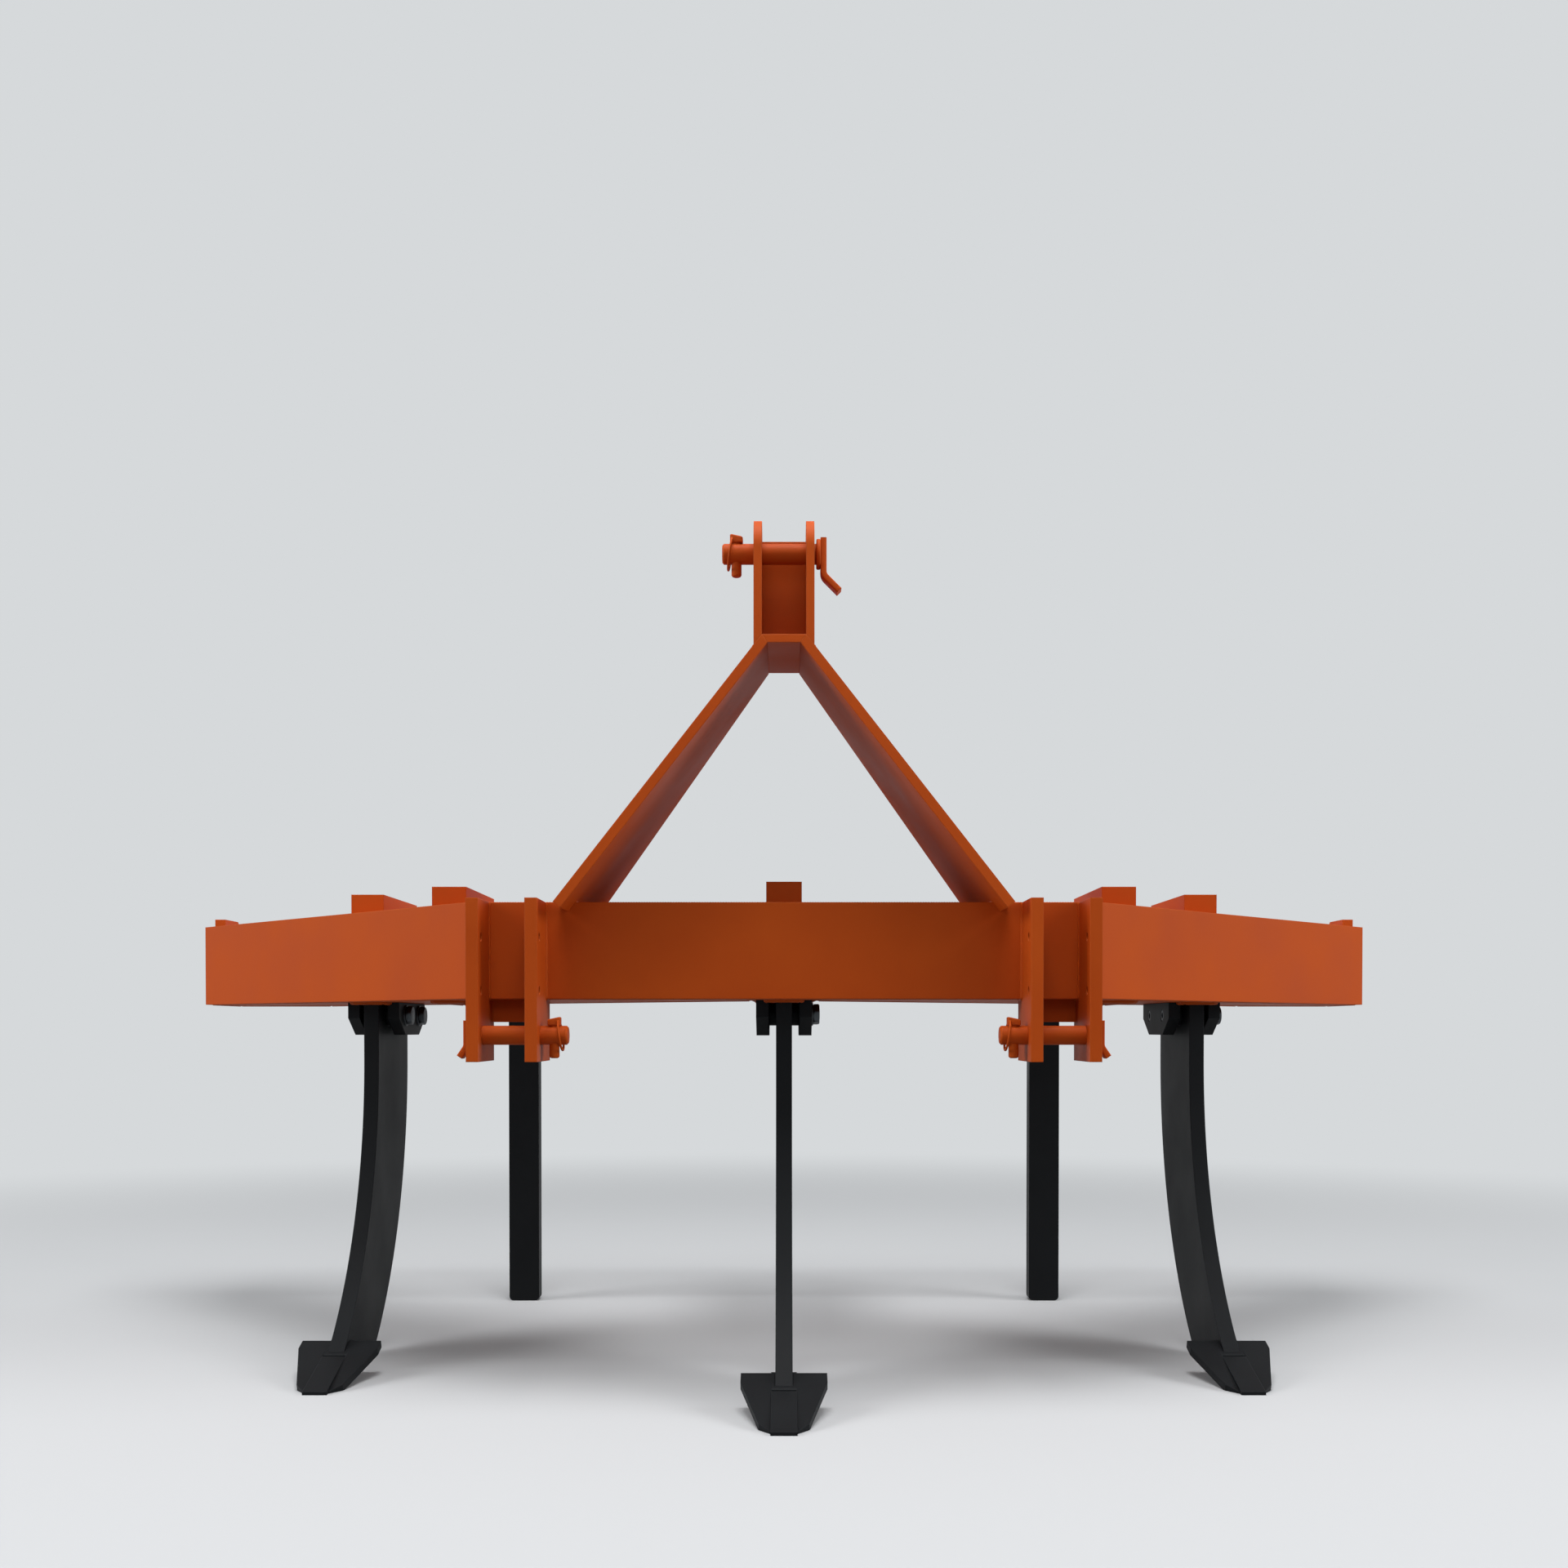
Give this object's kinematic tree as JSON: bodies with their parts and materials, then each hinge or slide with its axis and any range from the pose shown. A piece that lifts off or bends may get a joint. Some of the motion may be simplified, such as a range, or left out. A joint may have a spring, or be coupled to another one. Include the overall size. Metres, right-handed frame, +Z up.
{
  "type": "subsoiler",
  "caption": "Mounted subsoiler with a swept box frame, curved shanks ending in winged shares, a plate mast with a top link clevis, lower hitch brackets and sliding rear stands.",
  "frame": {"origin": "on the ground under the middle of the bounding box", "axes": "+X to the right seen from the tractor's side looking rearwards, +Y towards the rear of the machine, +Z up"},
  "size_m": [2.224, 1.1716, 1.302],
  "materials": {
    "orange_paint": "semi-gloss orange paint",
    "charcoal_paint": "satin charcoal paint",
    "dark_steel": "dulled bolt steel"
  },
  "bodies": {
    "frame": {"front_plate": "orange_paint", "wing_plate_left": "orange_paint", "wing_plate_right": "orange_paint", "end_plate_left": "orange_paint", "end_plate_right": "orange_paint", "inner_plate_left": "orange_paint", "inner_plate_right": "orange_paint", "top_skin_left": "orange_paint", "top_skin_right": "orange_paint", "bottom_skin_left": "orange_paint", "bottom_skin_right": "orange_paint", "spine": "orange_paint", "rear_bar": "orange_paint", "socket_centre": "orange_paint", "socket_left": "orange_paint", "socket_right": "orange_paint", "socket_spare_left": "orange_paint", "socket_spare_right": "orange_paint", "hitch_bracket_left": "orange_paint", "hitch_bracket_right": "orange_paint", "mast_head": "orange_paint", "mast_leg_left": "orange_paint", "mast_leg_right": "orange_paint", "clevis": "orange_paint", "top_pin": "orange_paint", "lower_pin_left": "orange_paint", "lower_pin_right": "orange_paint", "linchpins": "orange_paint", "clamp_centre": "charcoal_paint", "clamp_left": "charcoal_paint", "clamp_right": "charcoal_paint", "shank_bolts": "dark_steel", "shank_centre": "charcoal_paint", "shank_left": "charcoal_paint", "shank_right": "charcoal_paint", "share_centre": "charcoal_paint", "share_left": "charcoal_paint", "share_right": "charcoal_paint", "point_centre": "charcoal_paint", "point_left": "charcoal_paint", "point_right": "charcoal_paint", "stand_sleeve_left": "orange_paint", "stand_sleeve_right": "orange_paint", "stand_bolts": "dark_steel"},
    "stand_left": {"stand_leg_left": "charcoal_paint"},
    "stand_right": {"stand_leg_right": "charcoal_paint"}
  },
  "joints": [
    {"name": "stand_left_slide", "type": "slide", "parent": "frame", "child": "stand_left", "axis": [0, 0, 1], "range_m": [0, 0.45]},
    {"name": "stand_right_slide", "type": "slide", "parent": "frame", "child": "stand_right", "axis": [0, 0, 1], "range_m": [0, 0.45]}
  ]
}
